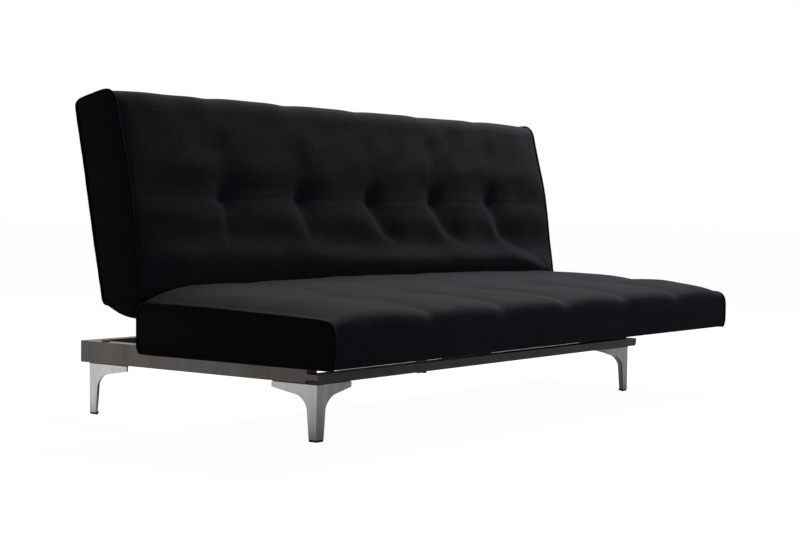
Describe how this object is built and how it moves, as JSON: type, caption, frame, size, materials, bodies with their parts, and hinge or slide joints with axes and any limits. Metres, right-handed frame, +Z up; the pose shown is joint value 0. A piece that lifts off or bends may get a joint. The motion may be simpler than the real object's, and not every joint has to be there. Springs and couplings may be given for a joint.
{
  "type": "futon sofa bed",
  "caption": "Click-clack sofa bed: tufted back and crowned seat cushion hinged on a low tube frame with angled cast legs; the back folds flat behind the seat.",
  "frame": {"origin": "on the floor under the middle of the object, drawn upright as a sofa: half way along its length and half way from the seat's front face to the frame's rear face", "axes": "+X along the length towards the right end as seen from the front, +Y from the front to the rear, +Z up"},
  "size_m": [2, 1.115, 0.8867],
  "materials": {
    "black_plastic": "matte",
    "cast_aluminium": "satin",
    "dust_cloth": "matte",
    "foam": "matte",
    "frame_paint": "satin",
    "hinge_steel": "satin",
    "nylon": "satin",
    "rubber": "matte",
    "spring_steel": "satin",
    "timber": "matte",
    "twine": "matte",
    "upholstery": "matte",
    "zinc_steel": "satin"
  },
  "bodies": {
    "base": {"back_rest_pads": "rubber", "center_rail": "frame_paint", "front_rail": "frame_paint", "glide_front_left": "black_plastic", "glide_front_right": "black_plastic", "glide_rear_left": "black_plastic", "glide_rear_right": "black_plastic", "hinge_bracket_bolts": "zinc_steel", "left_hinge_bracket": "hinge_steel", "left_pivot_pin": "zinc_steel", "left_side_rail": "frame_paint", "leg_bolts": "zinc_steel", "leg_front_left": "cast_aluminium", "leg_front_right": "cast_aluminium", "leg_rear_left": "cast_aluminium", "leg_rear_right": "cast_aluminium", "leg_spacers": "black_plastic", "pivot_washers": "nylon", "rear_rail": "frame_paint", "right_hinge_bracket": "hinge_steel", "right_pivot_pin": "zinc_steel", "right_side_rail": "frame_paint", "seat_rest_pads": "rubber", "side_rail_caps": "frame_paint"},
    "seat": {"left_seat_arm": "hinge_steel", "pawl_pins": "zinc_steel", "right_seat_arm": "hinge_steel", "seat_arm_screws": "zinc_steel", "seat_cover": "upholstery", "seat_deck_front_rail": "timber", "seat_deck_left_end_rail": "timber", "seat_deck_left_hinge_rail": "timber", "seat_deck_rear_rail": "timber", "seat_deck_right_end_rail": "timber", "seat_deck_right_hinge_rail": "timber", "seat_dust_cover": "dust_cloth", "seat_foam": "foam", "seat_spring_clips": "spring_steel", "seat_springs": "spring_steel", "seat_tuft_ties": "twine"},
    "back": {"back_arm_screws": "zinc_steel", "back_cover": "upholstery", "back_deck_bottom_rail": "timber", "back_deck_left_end_rail": "timber", "back_deck_left_hinge_rail": "timber", "back_deck_right_end_rail": "timber", "back_deck_right_hinge_rail": "timber", "back_deck_top_rail": "timber", "back_dust_cover": "dust_cloth", "back_foam": "foam", "back_spring_clips": "spring_steel", "back_springs": "spring_steel", "back_tuft_ties": "twine", "left_back_arm": "hinge_steel", "right_back_arm": "hinge_steel"},
    "left_pawl": {"left_pawl": "hinge_steel"},
    "right_pawl": {"right_pawl": "hinge_steel"}
  },
  "joints": [
    {"name": "seat_lift", "type": "hinge", "parent": "base", "child": "seat", "pos_m": [0, 0.1213, 0.328], "axis": [-1, 0, 0], "range_deg": [0, 26]},
    {"name": "back_recline", "type": "hinge", "parent": "base", "child": "back", "pos_m": [0, 0.1213, 0.328], "axis": [-1, 0, 0], "range_deg": [0, 78]},
    {"name": "left_pawl_swing", "type": "hinge", "parent": "seat", "child": "left_pawl", "pos_m": [-0.747, 0.08241, 0.32376], "axis": [1, 0, 0], "range_deg": [0, 11]},
    {"name": "right_pawl_swing", "type": "hinge", "parent": "seat", "child": "right_pawl", "pos_m": [0.747, 0.08241, 0.32376], "axis": [1, 0, 0], "range_deg": [0, 11]}
  ],
  "couplings": [
    {"joint": "right_pawl_swing", "follows": "left_pawl_swing", "ratio": 1}
  ]
}
